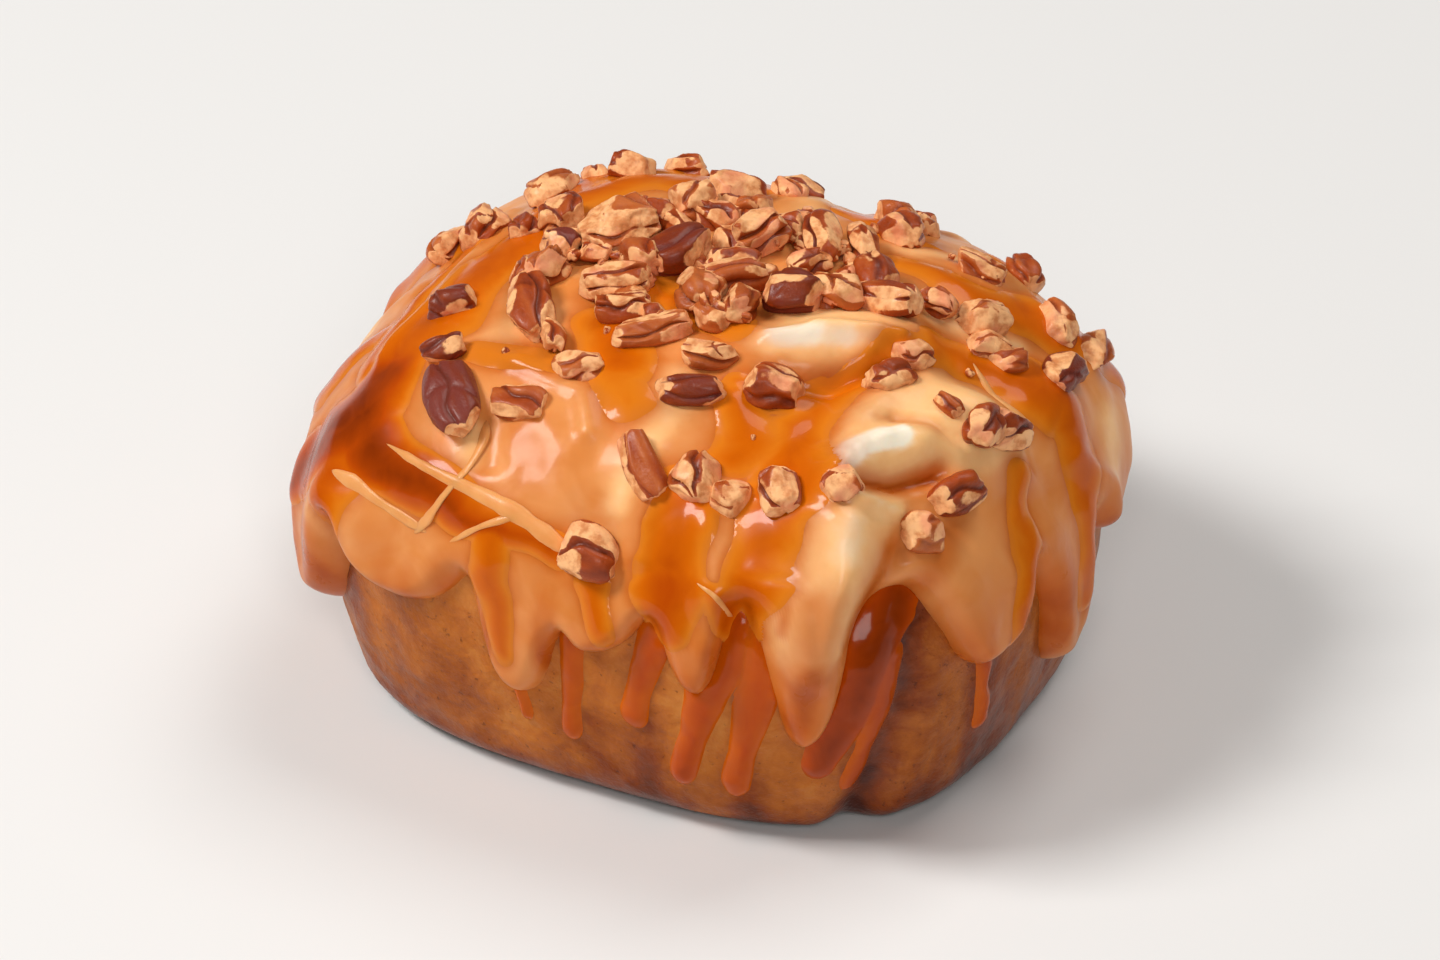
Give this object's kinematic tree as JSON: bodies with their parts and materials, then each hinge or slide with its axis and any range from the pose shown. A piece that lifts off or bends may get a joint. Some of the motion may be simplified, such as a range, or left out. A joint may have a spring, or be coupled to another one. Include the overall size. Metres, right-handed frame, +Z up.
{
  "type": "sticky bun",
  "caption": "Rounded-square rolled sticky bun with thick tan frosting running down its sides and chopped pecans on top.",
  "frame": {"origin": "the middle of the flat base, on the surface that the bun stands on", "axes": "+Z up out of the base; +X along the bun's longer side; -Y towards the side that shows most in the picture"},
  "size_m": [0.1073, 0.0955, 0.0665],
  "materials": {
    "dough": "baked dough soaked in syrup: brown, a little glossy",
    "frosting": "thick glossy tan frosting with clear amber caramel sauce over it",
    "caramel": "clear glossy amber caramel sauce",
    "pecan": "roasted pecan: ribbed red-brown skin, pale matt flesh where it is broken"
  },
  "bodies": {
    "root": {"bun": "dough", "frosting": "frosting", "pecan_01": "pecan", "pecan_02": "pecan", "pecan_03": "pecan", "pecan_04": "pecan", "pecan_05": "pecan", "pecan_06": "pecan", "pecan_07": "pecan", "pecan_08": "pecan", "pecan_09": "pecan", "pecan_10": "pecan", "pecan_11": "pecan", "pecan_12": "pecan", "pecan_13": "pecan", "pecan_14": "pecan", "pecan_15": "pecan"}
  },
  "joints": []
}
